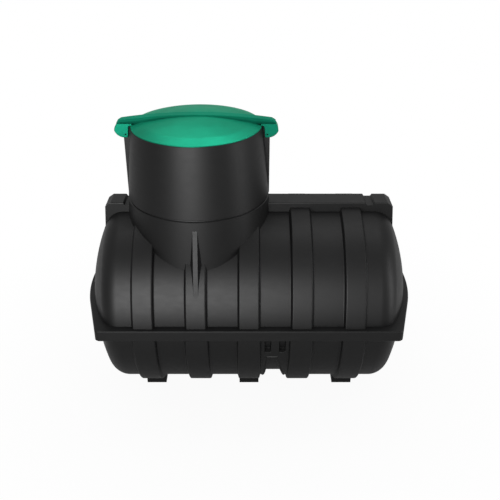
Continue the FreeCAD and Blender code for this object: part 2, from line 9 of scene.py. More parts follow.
import bpy
import numpy as np
from bpy.props import FloatProperty, FloatVectorProperty, PointerProperty
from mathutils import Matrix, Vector

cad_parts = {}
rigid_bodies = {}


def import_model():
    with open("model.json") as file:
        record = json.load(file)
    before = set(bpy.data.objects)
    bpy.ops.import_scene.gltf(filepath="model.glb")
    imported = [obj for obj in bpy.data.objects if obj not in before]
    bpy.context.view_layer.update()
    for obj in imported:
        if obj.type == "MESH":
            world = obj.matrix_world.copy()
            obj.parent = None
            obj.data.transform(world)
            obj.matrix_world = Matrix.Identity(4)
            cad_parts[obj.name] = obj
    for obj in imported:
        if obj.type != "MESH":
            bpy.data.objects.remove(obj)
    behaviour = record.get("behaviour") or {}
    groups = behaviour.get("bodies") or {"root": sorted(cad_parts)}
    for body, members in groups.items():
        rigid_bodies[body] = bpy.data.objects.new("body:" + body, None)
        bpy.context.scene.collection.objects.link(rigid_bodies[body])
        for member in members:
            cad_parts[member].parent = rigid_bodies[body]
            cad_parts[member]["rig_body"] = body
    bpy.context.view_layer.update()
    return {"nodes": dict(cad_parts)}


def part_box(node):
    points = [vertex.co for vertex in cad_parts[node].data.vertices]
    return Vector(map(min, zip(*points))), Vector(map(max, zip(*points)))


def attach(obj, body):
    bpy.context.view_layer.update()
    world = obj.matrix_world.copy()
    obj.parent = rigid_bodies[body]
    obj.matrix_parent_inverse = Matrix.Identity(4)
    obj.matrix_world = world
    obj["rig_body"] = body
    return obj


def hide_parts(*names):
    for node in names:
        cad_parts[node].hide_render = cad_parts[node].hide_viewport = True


bl_info = {
    "name": "Underground Storage Tank",
    "version": (1, 0, 0),
    "blender": (4, 5, 0),
    "location": "View3D > Sidebar > Tank",
    "description": "Builds the fine pieces, finishes and studio of an underground storage tank",
    "category": "Object",
}

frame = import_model()

# Radius of the small flat at the pole of a turned form, and how finely forms are turned
POLE = 0.004
VESSEL_COLUMNS = 192
NECK_COLUMNS = 160

# Soft boxes: angles in degrees, azimuth 0 in front and positive to the right, lengths in metres
SOFT_BOXES = {
    "key": {"azimuth": -14, "elevation": 17, "distance": 4.6, "width": 2.6, "height": 3.1},
    "side": {"azimuth": 70, "elevation": 12, "distance": 3.6, "width": 0.85, "height": 2.4},
    "top": {"azimuth": 0, "elevation": 95, "distance": 3.0, "width": 3.4, "height": 1.0},
    "back": {"azimuth": -16, "elevation": 117, "distance": 4.2, "width": 4.4, "height": 0.9},
}


def length(name, default, description):
    return FloatProperty(name=name, default=default, min=0, unit="LENGTH", description=description)


def angle(name, degrees, description):
    return FloatProperty(name=name, default=math.radians(degrees), unit="ROTATION", description=description)


def share(name, default, description):
    return FloatProperty(name=name, default=default, min=0, max=1, subtype="FACTOR", description=description)


def colour(name, default, description):
    return FloatVectorProperty(
        name=name, default=default, min=0, max=1, size=3, subtype="COLOR", description=description)


def strength(name, default, description):
    return FloatProperty(name=name, default=default, min=0, description=description)


class TankVesselSizes(bpy.types.PropertyGroup):
    """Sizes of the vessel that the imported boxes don't give."""

    wall: length("Wall", 0.010, "Thickness of the moulded wall")
    dish_radius: length("Dish radius", 1.050, "Outside radius of a dished end")
    knuckle_radius: length("Knuckle radius", 0.105, "Outside radius between barrel and dish")
    rib_pitch: length("Rib pitch", 0.2808, "Spacing of the ribs")
    upper_rib: length("Upper rib", 0.105, "Width of a rib across its top, in the upper half")
    lower_rib: length("Lower rib", 0.118, "Width of a rib across its top, in the lower half")
    rib_draft: length("Rib draft", 0.007, "Run of a rib's sloping flank")
    rib_edge: length("Rib edge", 0.008, "Rounding of a rib's upper edges")
    rib_root: length("Rib root", 0.006, "Rounding where a rib meets the barrel")
    recess_depth: length("Recess depth", 0.029, "Depth of the strap channel and of the pockets above it")
    channel_middle: length("Channel middle", 0.1414, "Middle of the strap channel from the vessel's middle")
    channel_crown: length("Channel crown", 0.042, "Width of the strap channel's arch at its crown")
    channel_flare: share("Channel flare", 0.14, "Widening of each side of the arch per length downwards")
    channel_drop: length("Channel drop", 0.155, "Crown of the arch below the axis")
    channel_lean: length("Channel lean", 0.014, "Sideways set of the channel's crown")
    channel_reach: length("Channel reach", 0.25, "Drop over which the lean runs out")
    channel_edge: length("Channel edge", 0.006, "Run of the round edges of the strap channel")
    bead_height: length("Bead height", 0.005, "Height of the bead round the strap channel")
    bead_width: length("Bead width", 0.005, "Half width of the bead round the strap channel")
    pocket_edge: length("Pocket edge", 0.003, "Run of the edges of the pockets")
    pocket_inner: length("Pocket inner side", 0.022, "Inner side of a pocket from the middle of the channel")
    pocket_outer: length("Pocket outer side", 0.057, "Outer side of a pocket from the middle of the channel")
    pocket_top: length("Pocket top", 0.010, "Upper end of a pocket below the axis")
    pocket_drop: length("Pocket drop", 0.112, "Lower end of a pocket below the axis")


class TankLidSizes(bpy.types.PropertyGroup):
    """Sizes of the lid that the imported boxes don't give."""

    gap: length("Gap", 0.0003, "Seating gap under the lid")
    rim: length("Rim", 0.003, "Height of the lid's rim")
    edge: length("Edge", 0.003, "Rounding of the lid's rim")
    crown_flat: length("Crown flat", 0.100, "Where the dome starts to fall, from the middle of the lid")
    crown_round: length("Crown round", 1.05, "Rounding of the dome's crown")
    shoulder: length("Shoulder", 0.283, "Distance of the shoulder from the middle of the lid")
    shoulder_height: length("Shoulder height", 0.0215, "Height of the shoulder above the seat")
    shoulder_round: length("Shoulder round", 0.22, "Rounding of the shoulder")
    wall: length("Wall", 0.006, "Thickness of the lid")
    lip_setback: length("Lip setback", 0.014, "From the lid's edge to the locating lip")
    lip_edge: length("Lip edge", 0.002, "Rounding of the locating lip")
    bar_width: length("Bar width", 0.054, "Width of the cross bar")
    bar_end: length("Bar end", 0.029, "Top of the cross bar above the seat, at its ends")
    bar_slope: length("Bar slope", 0.020, "Run of the sloped ends of the cross bar")
    bar_fall: length("Bar fall", 0.009, "Fall of the sloped ends of the cross bar")
    bar_undercut: length("Bar undercut", 0.002, "How far the cross bar's sides lean in towards their foot")
    bar_edge: length("Bar edge", 0.004, "Rounding of the cross bar's edges")
    bar_least_edge: length("Bar least edge", 0.0015, "Rounding left at the very ends of the cross bar")
    bar_sunk: length("Bar sunk", 0.004, "How far the cross bar is let into the dome")


class TankNeckSizes(bpy.types.PropertyGroup):
    """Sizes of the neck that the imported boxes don't give."""

    wall: length("Wall", 0.010, "Thickness of the riser's wall")
    taper: length("Taper", 0.036, "How much narrower the riser is at its rim")
    rim_edge: length("Rim edge", 0.003, "Rounding of the rim")
    seam_height: length("Seam height", 0.008, "Height of the open joint under the riser")
    seam_depth: length("Seam depth", 0.008, "Depth of the open joint under the riser")
    seam_edge: length("Seam edge", 0.003, "Rounding above the open joint")


class TankFinish(bpy.types.PropertyGroup):
    """Colours and gloss of the plastics."""

    black: colour("Black", (0.0062, 0.0062, 0.0064), "Colour of the moulded vessel")
    green: colour("Green", (0.0086, 0.2430, 0.1440), "Colour of the lid")
    bar_green: colour("Bar green", (0.0085, 0.2450, 0.1450), "Colour of the lid's cross bar")
    black_roughness: share("Black roughness", 0.47, "Roughness of the vessel")
    green_roughness: share("Green roughness", 0.35, "Roughness of the lid")
    bar_roughness: share("Bar roughness", 0.60, "Roughness of the cross bar")
    black_gloss: share("Black gloss", 0.25, "Mirror share of the vessel")
    green_gloss: share("Green gloss", 0.04, "Mirror share of the lid")
    green_sheen: share("Green sheen", 0.35, "Share of the lid's colour that mirrors, as in pearly pigment")
    bar_sheen: share("Bar sheen", 0.11, "Share of the bar's colour that mirrors")
    grain: length("Grain", 0.0030, "Size of the moulded grain")
    flow: length("Flow marks", 0.22, "Size of the slow flow marks")
    scuff: length("Scuffs", 0.05, "Size of the faint scuffs")


class TankStage(bpy.types.PropertyGroup):
    """Camera, lamps and floor."""

    focal: FloatProperty(name="Focal length", default=50.4, min=1, description="Lens on a 36 mm sensor")
    camera_place: FloatVectorProperty(
        name="Camera", default=(0.0, -3.5817, 2.7574), subtype="TRANSLATION",
        description="Place of the camera")
    pitch: angle("Pitch", 29.354, "How far the camera looks down")
    shift_across: FloatProperty(name="Shift across", default=0.002, description="Lens shift across")
    shift_up: FloatProperty(name="Shift up", default=0.017, description="Lens shift up")
    key: strength("Key", 11.0, "Brightness of the soft box in front")
    side: strength("Side", 6.0, "Brightness of the strip on the right")
    top: strength("Top", 2.2, "Brightness of the soft box above")
    back: strength("Back", 6.0, "Brightness of the strip behind that the lid mirrors")
    ambient: strength("Ambient", 0.50, "Brightness of the room")
    mirrored: share("Mirrored", 0.15, "Share of the white background that the plastic mirrors")
    near_white: share("Near white", 0.95, "Share of plain white in the floor beside the tank")
    fade_start: length("Fade start", 0.6, "Where the floor starts to turn plain white")
    fade_end: length("Fade end", 2.2, "Where the floor is plain white")


# Outlines and meshes

def unit(vectors):
    return vectors / np.linalg.norm(vectors, axis=-1, keepdims=True)


def rounded_path(corners, steps=6):
    """Points and outward normals along a path whose corners are (x, y, radius), left side inside."""
    places = np.array([corner[:2] for corner in corners], float)
    along = unit(np.diff(places, axis=0))
    points, normals = [], []

    def add(place, normal):
        points.append(place)
        normals.append(normal)

    def outward(direction):
        return np.array([-direction[1], direction[0]])

    add(places[0], outward(along[0]))
    for before, after, place, corner in zip(along, along[1:], places[1:], corners[1:]):
        turn = math.atan2(before[0] * after[1] - before[1] * after[0], before @ after)
        radius = corner[2] if len(corner) > 2 else 0
        if radius == 0 or abs(turn) < 1e-6:
            add(place, outward(before))
            add(place, outward(after))
            continue
        start = place - before * radius * math.tan(abs(turn) / 2)
        centre = start + outward(before) * radius * math.copysign(1, turn)
        for step in range(steps + 1):
            swing = turn * step / steps
            cos, sin = math.cos(swing), math.sin(swing)
            normal = outward((before[0] * cos - before[1] * sin, before[0] * sin + before[1] * cos))
            add(centre - normal * radius * math.copysign(1, turn), normal)
    add(places[-1], outward(along[-1]))
    return np.array(points), np.array(normals)


class MeshDraft:
    """Collects faces with a normal at each corner, then becomes an object."""

    def __init__(self, name):
        self.name = name
        self.points = []
        self.faces = []
        self.corner_normals = []

    def add_grid(self, points, normals, wrap=False, flip=False):
        """A sheet of quads over rows and columns of points. Returns the number of each point."""
        rows, columns = points.shape[:2]
        numbers = np.arange(rows * columns).reshape(rows, columns) + len(self.points)
        self.points += points.reshape(-1, 3).tolist()
        last = columns if wrap else columns - 1
        for row in range(rows - 1):
            for column in range(last):
                beside = (column + 1) % columns
                spots = [(row, column), (row, beside), (row + 1, beside), (row + 1, column)]
                self.add_face([(numbers[spot], normals[spot]) for spot in (spots[::-1] if flip else spots)])
        return numbers

    def add_face(self, corners):
        self.faces.append([int(number) for number, _ in corners])
        self.corner_normals += [tuple(normal) for _, normal in corners]

    def add_flat(self, numbers):
        """A face that keeps its own flat normal."""
        spots = np.array([self.points[number] for number in numbers])
        ahead = np.roll(spots, -1, axis=0)
        normal = np.cross(spots - spots.mean(0), ahead - spots.mean(0)).sum(0)
        normal = normal / max(np.linalg.norm(normal), 1e-12)
        self.add_face([(number, normal) for number in numbers])

    def add_strip(self, first, second, wrap=False):
        """Flat faces between two rows of points."""
        count = len(first) if wrap else len(first) - 1
        for here in range(count):
            there = (here + 1) % len(first)
            self.add_flat([first[here], first[there], second[there], second[here]])

    def finish(self, body, slot, material, replaced=()):
        mesh = bpy.data.meshes.new(self.name)
        mesh.from_pydata(self.points, [], self.faces)
        mesh.polygons.foreach_set("use_smooth", [True] * len(mesh.polygons))
        mesh.normals_split_custom_set(self.corner_normals)
        mesh.materials.append(material)
        piece = bpy.data.objects.new(self.name, mesh)
        bpy.context.scene.collection.objects.link(piece)
        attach(piece, body)
        if replaced:
            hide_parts(*replaced)
        return piece


def smooth_step(values):
    values = np.clip(values, 0, 1)
    return values * values * (3 - 2 * values)


# Vessel

class VesselForm:
    """The turned form of the vessel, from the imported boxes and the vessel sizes."""

    def __init__(self, sizes):
        self.sizes = sizes
        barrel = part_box("upper_barrel")
        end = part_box("right_end")
        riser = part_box("neck_riser")
        self.axis = barrel[0].z
        self.barrel_end = barrel[1].x
        self.rib_radius = barrel[1].y
        self.radius = end[1].y
        self.tip = end[1].x
        self.neck_x = (riser[0].x + riser[1].x) / 2
        self.neck_hole = (riser[1].x - riser[0].x) / 2 - sizes.wall / 2

    def barrel_path(self, rib_width):
        """Outline of the ribbed barrel, left to right."""
        sizes = self.sizes
        half_top = rib_width / 2
        half_foot = half_top + sizes.rib_draft
        corners = [(-self.barrel_end, self.radius)]
        for number in range(-2, 3):
            middle = number * sizes.rib_pitch
            corners += [
                (middle - half_foot, self.radius, sizes.rib_root),
                (middle - half_top, self.rib_radius, sizes.rib_edge),
                (middle + half_top, self.rib_radius, sizes.rib_edge),
                (middle + half_foot, self.radius, sizes.rib_root),
            ]
        return rounded_path(corners + [(self.barrel_end, self.radius)])

    def end_path(self, inset, steps):
        """Outline of the right end from the barrel to just short of its tip."""
        dish, knuckle = self.sizes.dish_radius, self.sizes.knuckle_radius
        dish_x = self.tip - dish
        ring = self.radius - knuckle
        meet = math.atan2(ring, self.barrel_end - dish_x)
        rows = []
        for swing in np.linspace(math.pi / 2, meet, steps):
            rows.append((self.barrel_end, ring, knuckle - inset, swing))
        for swing in np.linspace(meet, POLE / dish, steps * 2)[1:]:
            rows.append((dish_x, 0, dish - inset, swing))
        normals = np.array([(math.cos(row[3]), math.sin(row[3])) for row in rows])
        centres = np.array([row[:2] for row in rows])
        return centres + normals * np.array([[row[2]] for row in rows]), normals

    def refined(self, path, stops):
        """The path with more rows, so that the given x places lie on it."""
        points, normals = path
        extra = [x for x in stops if np.abs(points[:, 0] - x).min() > 5e-4]
        spots = np.array([np.interp(x, points[:, 0], points[:, 1]) for x in extra])
        index = [int(np.searchsorted(points[:, 0], x)) for x in extra]
        added = np.column_stack([extra, spots])
        leaning = np.array([normals[min(i, len(normals) - 1)] for i in index])
        return np.insert(points, index, added, axis=0), np.insert(normals, index, leaning, axis=0)

    def turned(self, along, radii, normals, swings, lean=None):
        """Points and normals at each swing, which starts at the front waist and goes over the crown."""
        swings = np.broadcast_to(swings, (len(along), np.shape(swings)[-1]))
        outward = np.stack([np.zeros_like(swings), -np.cos(swings), np.sin(swings)], -1)
        points = outward * np.broadcast_to(radii, swings.shape)[..., None]
        points[..., 0] = np.asarray(along)[:, None]
        points[..., 2] += self.axis
        facing = outward * normals[:, 1][:, None, None]
        facing[..., 0] = normals[:, 0][:, None]
        if lean is not None:
            around = np.stack([np.zeros_like(swings), np.sin(swings), np.cos(swings)], -1)
            facing = facing + around * lean[1][..., None]
            facing[..., 0] += lean[0]
        return points, unit(facing)


def add_wall(draft, outer, inner, wrap=False, capped=False):
    """A moulded wall between two like grids, closed along its borders."""
    outside = draft.add_grid(*outer, wrap=wrap, flip=True)
    inside = draft.add_grid(inner[0], -inner[1], wrap=wrap)
    draft.add_strip(outside[0], inside[0], wrap)
    if capped:
        draft.add_flat(outside[-1][::-1])
        draft.add_flat(inside[-1])
    else:
        draft.add_strip(inside[-1], outside[-1], wrap)
    if not wrap:
        draft.add_strip(inside[:, 0], outside[:, 0])
        draft.add_strip(outside[:, -1], inside[:, -1])


def upper_barrel(form, material):
    """Upper half of the barrel, open to the neck."""
    hole = form.neck_hole
    stops = [form.neck_x - hole * math.cos(turn) for turn in np.linspace(0, math.pi, 61)]
    points, normals = form.refined(form.barrel_path(form.sizes.upper_rib), stops)
    along, radii = points.T
    bore = form.radius - form.sizes.wall
    reach = np.sqrt(np.clip(hole**2 - (along - form.neck_x) ** 2, 0, None))
    columns = np.linspace(0, 1, 65)
    draft = MeshDraft("upper_barrel_skin")
    plain = np.tile([0.0, 1.0], (len(along), 1))
    for rear in (False, True):
        grids = []
        for radius, facing in ((radii, normals), (np.full_like(radii, bore), plain)):
            swings = columns * np.arccos(reach / radius)[:, None]
            if rear:
                swings = np.pi - swings[:, ::-1]
            grids.append(form.turned(along, radius[:, None], facing, swings))
        add_wall(draft, *grids)
    return draft.finish("tank", "black_shell", material, ["upper_barrel"])


def recess(form, along, swings):
    """Depth of the strap channel and its pockets in the lower half of the barrel."""
    sizes = form.sizes
    soft = sizes.channel_edge
    drop = -form.radius * np.sin(swings)
    below = drop - sizes.channel_drop
    lean = sizes.channel_lean * np.clip(1 - below / sizes.channel_reach, 0, 1)
    off_channel = np.abs(along - sizes.channel_middle + lean)
    half = sizes.channel_crown / 2 + sizes.channel_flare * np.maximum(below, 0)
    channel = smooth_step((half - off_channel) / soft) * smooth_step(below / soft)
    outside = np.maximum(off_channel - half, -below)
    bead = np.exp(-((outside / sizes.bead_width - 1) ** 2))
    aside = np.abs(along - sizes.channel_middle)
    across = np.minimum(aside - sizes.pocket_inner, sizes.pocket_outer - aside)
    upright = np.minimum(drop - sizes.pocket_top, sizes.pocket_drop - drop)
    pocket = smooth_step(across / sizes.pocket_edge) * smooth_step(upright / sizes.pocket_edge)
    return sizes.recess_depth * (channel + pocket) - sizes.bead_height * bead


def recess_lean(form, along, swings, step=5e-4):
    """How steeply the recess deepens along the vessel and round it."""
    ahead = recess(form, along + step, swings) - recess(form, along - step, swings)
    onward = recess(form, along, swings + step) - recess(form, along, swings - step)
    return ahead / (2 * step), onward / (2 * step * form.radius)


def lower_barrel(form, material):
    """Lower half of the barrel, with the strap channel."""
    sizes = form.sizes
    reach = (sizes.rib_pitch - sizes.lower_rib) / 2 - sizes.rib_draft
    stops = np.linspace(sizes.channel_middle - reach, sizes.channel_middle + reach, 75)
    points, normals = form.refined(form.barrel_path(sizes.lower_rib), stops)
    along, radii = points.T
    fine_swing = math.radians(24)
    near_waist = np.linspace(0, fine_swing, 81)
    below = np.linspace(fine_swing, math.pi - fine_swing, 89)[1:-1]
    swings = -np.concatenate([near_waist, below, math.pi - near_waist[::-1]])[::-1]
    grid_x, grid_swing = np.meshgrid(along, swings, indexing="ij")
    depth = recess(form, grid_x, grid_swing)
    lean = recess_lean(form, grid_x, grid_swing)
    outer = form.turned(along, radii[:, None] - depth, normals, swings, lean)
    bore = form.radius - sizes.wall - depth
    plain = np.tile([0.0, 1.0], (len(along), 1))
    inner = form.turned(along, bore, plain, swings, lean)
    draft = MeshDraft("lower_barrel_skin")
    add_wall(draft, outer, inner)
    return draft.finish("tank", "black_shell", material, ["lower_barrel"])


def dished_end(form, label, side, material):
    """One dished end, a wall turned right round."""
    swings = np.linspace(0, 2 * math.pi, VESSEL_COLUMNS + 1)[:-1]
    grids = []
    for inset in (0.0, form.sizes.wall):
        points, normals = form.end_path(inset, 17)
        spots, facing = form.turned(points[:, 0], points[:, 1][:, None], normals, swings)
        spots[..., 0] *= side
        facing[..., 0] *= side
        if side < 0:
            spots, facing = spots[:, ::-1], facing[:, ::-1]
        grids.append((spots, facing))
    draft = MeshDraft(f"{label}_skin")
    add_wall(draft, *grids, wrap=True, capped=True)
    return draft.finish("tank", "black_shell", material, [label])


# Lid

def turned_about(centre_x, points, normals):
    """Points and normals of an outline (radius, height) turned about an upright axis."""
    swings = np.linspace(0, 2 * math.pi, NECK_COLUMNS + 1)[:-1]
    around = np.stack([np.cos(swings), np.sin(swings), np.zeros_like(swings)], -1)
    spots = around[None] * points[:, 0][:, None, None]
    spots[..., 2] = points[:, 1][:, None]
    spots[..., 0] += centre_x
    facing = around[None] * normals[:, 0][:, None, None]
    facing[..., 2] = normals[:, 1][:, None]
    return spots, facing


class LidForm:
    """Places of the lid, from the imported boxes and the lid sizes."""

    def __init__(self, sizes):
        self.sizes = sizes
        dome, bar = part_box("lid_dome"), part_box("lid_bar")
        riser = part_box("neck_riser")
        self.neck_x = (dome[0].x + dome[1].x) / 2
        self.radius = (dome[1].x - dome[0].x) / 2
        self.seat = riser[1].z + sizes.gap
        self.bar_base = bar[0].z
        self.bottom = dome[0].z
        self.crown = dome[1].z
        self.bar_crown = bar[1].z
        self.bar_reach = bar[1].x - self.neck_x
        self.dome_path = rounded_path([
            (POLE, self.crown),
            (sizes.crown_flat, self.crown, sizes.crown_round),
            (sizes.shoulder, self.seat + sizes.shoulder_height, sizes.shoulder_round),
            (self.radius, self.seat + sizes.rim, sizes.edge),
            (self.radius, self.seat),
        ], steps=16)

    def dome_height(self, reach):
        return np.interp(np.abs(reach), *self.dome_path[0].T)


def lid_dome(form, material):
    """Shallow dome with a round rim, hollow underneath, with a locating lip."""
    sizes = form.sizes
    lip = form.radius - sizes.lip_setback
    lip_inside = lip - sizes.wall
    edge = rounded_path([
        (form.radius, form.seat),
        (lip, form.seat),
        (lip, form.bottom, sizes.lip_edge),
        (lip_inside, form.bottom, sizes.lip_edge),
        (lip_inside, form.seat),
    ])
    ring = np.linspace(lip_inside, POLE, 25)
    hollow = np.column_stack([ring, form.dome_height(ring) - sizes.wall])
    slope = np.gradient(hollow[:, 1], ring)
    inward = unit(np.column_stack([slope, -np.ones_like(ring)]))
    points = np.concatenate([form.dome_path[0], edge[0], hollow])
    normals = np.concatenate([form.dome_path[1], edge[1], inward])
    spots, facing = turned_about(form.neck_x, points, normals)
    draft = MeshDraft("lid_dome_skin")
    numbers = draft.add_grid(spots, facing, wrap=True, flip=True)
    draft.add_flat(numbers[0])
    draft.add_flat(numbers[-1][::-1])
    return draft.finish("lid", "green_lid", material, ["lid_dome"])


def lid_bar(form, material):
    """Cross bar over the dome, round on its edges and ends."""
    sizes = form.sizes
    half = sizes.bar_width / 2
    drop = form.bar_crown - form.seat - sizes.bar_end
    crown_radius = (form.bar_reach**2 + drop**2) / (2 * drop)
    edge = sizes.bar_edge
    swings = np.linspace(0, math.pi / 2, 7)
    near_end = [(form.bar_reach - edge * (1 - math.cos(s)), edge * (1 - math.sin(s))) for s in swings]
    stations = [(-reach, inset, -1) for reach, inset in near_end]
    slope_start = form.bar_reach - sizes.bar_slope
    steepness = sizes.bar_fall / sizes.bar_slope
    beside_bend = sizes.bar_slope * np.array([-0.01, 0.01])
    level_part = np.linspace(-slope_start, slope_start, 41)[1:-1]
    middle = np.concatenate([-slope_start + beside_bend, level_part, slope_start + beside_bend])
    stations += [(reach, 0.0, 0) for reach in middle]
    stations += [(reach, inset, 1) for reach, inset in reversed(near_end)]
    rings, facings = [], []
    for reach, inset, end in stations:
        fall = max(abs(reach) - slope_start, 0.0) * steepness
        top = form.bar_crown - crown_radius + math.sqrt(crown_radius**2 - reach**2) - inset - fall
        on_dome = float(form.dome_height(reach)) - sizes.bar_sunk
        bottom = max(form.bar_base, on_dome)
        wide = half - inset
        foot = wide - sizes.bar_undercut
        corner = max(edge - inset, sizes.bar_least_edge)
        points, normals = rounded_path([
            (-foot, bottom), (-wide, top, corner), (wide, top, corner), (foot, bottom)], steps=6)
        tilt = inset / edge * end
        level = math.sqrt(max(1 - tilt**2, 0))
        rings.append([(form.neck_x + reach, y, z) for y, z in points])
        slope = math.copysign(level * steepness, reach) if fall else 0.0
        facings.append([(tilt + slope * max(z, 0.0), y * level, z * level) for y, z in normals])
    rings, facings = np.array(rings), unit(np.array(facings))
    draft = MeshDraft("lid_bar_skin")
    numbers = draft.add_grid(rings, facings, flip=True)
    draft.add_flat(numbers[0])
    draft.add_flat(numbers[-1][::-1])
    draft.add_strip(numbers[:, 0], numbers[:, -1])
    return draft.finish("lid", "green_lid", material, ["lid_bar"])


# Neck

def neck_riser(sizes, material):
    """Tapering riser with a round rim, standing on an open joint."""
    low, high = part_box("neck_riser")
    middle = (low.x + high.x) / 2
    foot = (high.x - low.x) / 2
    rim = foot - sizes.taper
    points, normals = rounded_path([
        (rim - sizes.wall, high.z),
        (rim, high.z, sizes.rim_edge),
        (foot, low.z + sizes.seam_height, sizes.seam_edge),
        (foot - sizes.seam_depth, low.z + sizes.seam_height),
        (foot - sizes.seam_depth, low.z),
        (foot - sizes.wall, low.z),
        (rim - sizes.wall, high.z),
    ])
    spots, facing = turned_about(middle, points, normals)
    draft = MeshDraft("neck_riser_skin")
    draft.add_grid(spots, facing, wrap=True, flip=True)
    return draft.finish("tank", "black_shell", material, ["neck_riser"])


# Finishes

class Finish:
    """A node material with a plastic shader and helpers that wire detail into it."""

    def __init__(self, name):
        self.material = bpy.data.materials.new(name)
        self.material.use_nodes = True
        self.nodes = self.material.node_tree.nodes
        self.links = self.material.node_tree.links
        self.shader = self.nodes["Principled BSDF"]
        self.place = self.add("ShaderNodeTexCoord").outputs["Object"]

    def add(self, kind, **values):
        node = self.nodes.new(kind)
        for name, value in values.items():
            node.inputs[name].default_value = value
        return node

    def join(self, source, target):
        self.links.new(source, target)

    def noise(self, size, detail=3.0, stretch=(1, 1, 1)):
        """Noise whose lumps have about the given size."""
        mapping = self.add("ShaderNodeMapping", Scale=stretch)
        self.join(self.place, mapping.inputs["Vector"])
        texture = self.add("ShaderNodeTexNoise", Scale=1 / size, Detail=detail, Roughness=0.55)
        self.join(mapping.outputs["Vector"], texture.inputs["Vector"])
        return texture.outputs["Fac"]

    def ranged(self, value, low, high, start=0.3, end=0.7):
        node = self.nodes.new("ShaderNodeMapRange")
        for name, number in (("From Min", start), ("From Max", end), ("To Min", low), ("To Max", high)):
            node.inputs[name].default_value = number
        self.join(value, node.inputs["Value"])
        return node.outputs["Result"]

    def mixed(self, factor, first, second):
        node = self.nodes.new("ShaderNodeMix")
        node.data_type = "RGBA"
        node.inputs["A"].default_value = (*first, 1)
        node.inputs["B"].default_value = (*second, 1)
        self.join(factor, node.inputs["Factor"])
        return node.outputs["Result"]

    def bump(self, height, distance, amount, below=None):
        node = self.add("ShaderNodeBump", Strength=amount, Distance=distance)
        self.join(height, node.inputs["Height"])
        if below is not None:
            self.join(below, node.inputs["Normal"])
        return node.outputs["Normal"]


def moulded_plastic(name, base, roughness, gloss, sheen=0.0):
    """Satin moulded plastic with a fine grain, slow flow marks and faint scuffing."""
    if name in bpy.data.materials:
        return bpy.data.materials[name]
    settings = bpy.context.scene.tank_finish
    finish = Finish(name)
    shader = finish.shader
    flow = finish.noise(settings.flow, 4.0)
    fine = finish.noise(settings.grain, 2.0)
    dark = tuple(value * 0.88 for value in base)
    light = tuple(value * 1.14 for value in base)
    finish.join(finish.mixed(finish.ranged(flow, 0.0, 1.0), dark, light), shader.inputs["Base Color"])
    scuffs = finish.noise(settings.scuff, 5.0, (1, 1, 2.5))
    finish.join(finish.ranged(scuffs, roughness - 0.025, roughness + 0.03), shader.inputs["Roughness"])
    shader.inputs["Specular IOR Level"].default_value = gloss
    shader.inputs["Metallic"].default_value = sheen
    if sheen > 0:
        shader.inputs["Specular Tint"].default_value = (*(value / max(base) for value in base), 1)
    waves = finish.bump(flow, 0.004, 0.05)
    finish.join(finish.bump(fine, 0.0004, 0.22, waves), shader.inputs["Normal"])
    return finish.material


def black_plastic():
    settings = bpy.context.scene.tank_finish
    return moulded_plastic(
        "black_plastic", tuple(settings.black), settings.black_roughness, settings.black_gloss)


def green_plastic():
    settings = bpy.context.scene.tank_finish
    return moulded_plastic(
        "green_plastic", tuple(settings.green), settings.green_roughness, settings.green_gloss,
        settings.green_sheen)


def bar_plastic():
    settings = bpy.context.scene.tank_finish
    return moulded_plastic(
        "bar_plastic", tuple(settings.bar_green), settings.bar_roughness, settings.green_gloss,
        settings.bar_sheen)


# Stage

def background_factor(nodes, links, mirrored):
    """One where the camera or glass looks at the background, and a share of it in mirroring surfaces."""
    path = nodes.new("ShaderNodeLightPath")
    dimmed = nodes.new("ShaderNodeMath")
    dimmed.operation = "MULTIPLY"
    dimmed.inputs[1].default_value = mirrored
    links.new(path.outputs["Is Glossy Ray"], dimmed.inputs[0])
    seen = path.outputs["Is Camera Ray"]
    for other in (path.outputs["Is Transmission Ray"], dimmed.outputs[0]):
        either = nodes.new("ShaderNodeMath")
        either.operation = "MAXIMUM"
        links.new(seen, either.inputs[0])
        links.new(other, either.inputs[1])
        seen = either.outputs[0]
    return seen


def make_floor(stage, half=30.0):
    """A pale floor that turns plain white away from the tank and keeps its shadow."""
    mesh = bpy.data.meshes.new("floor")
    corners = [(-half, -half, 0), (half, -half, 0), (half, half, 0), (-half, half, 0)]
    mesh.from_pydata(corners, [], [(0, 1, 2, 3)])
    floor = bpy.data.objects.new("floor", mesh)
    bpy.context.scene.collection.objects.link(floor)
    material = bpy.data.materials.new("pale_floor")
    material.use_nodes = True
    nodes, links = material.node_tree.nodes, material.node_tree.links
    nodes.clear()
    diffuse = nodes.new("ShaderNodeBsdfDiffuse")
    diffuse.inputs["Color"].default_value = (0.82, 0.82, 0.82, 1)
    glow = nodes.new("ShaderNodeEmission")
    place = nodes.new("ShaderNodeTexCoord")
    reach = nodes.new("ShaderNodeVectorMath")
    reach.operation = "LENGTH"
    links.new(place.outputs["Object"], reach.inputs[0])
    fade = nodes.new("ShaderNodeMapRange")
    fade.inputs["From Min"].default_value = stage.fade_start
    fade.inputs["From Max"].default_value = stage.fade_end
    fade.inputs["To Min"].default_value = stage.near_white
    fade.inputs["To Max"].default_value = 1.0
    links.new(reach.outputs["Value"], fade.inputs["Value"])
    seen = nodes.new("ShaderNodeMath")
    seen.operation = "MULTIPLY"
    links.new(background_factor(nodes, links, stage.mirrored), seen.inputs[0])
    links.new(fade.outputs["Result"], seen.inputs[1])
    mix = nodes.new("ShaderNodeMixShader")
    links.new(seen.outputs[0], mix.inputs["Fac"])
    links.new(diffuse.outputs[0], mix.inputs[1])
    links.new(glow.outputs[0], mix.inputs[2])
    output = nodes.new("ShaderNodeOutputMaterial")
    links.new(mix.outputs[0], output.inputs["Surface"])
    mesh.materials.append(material)


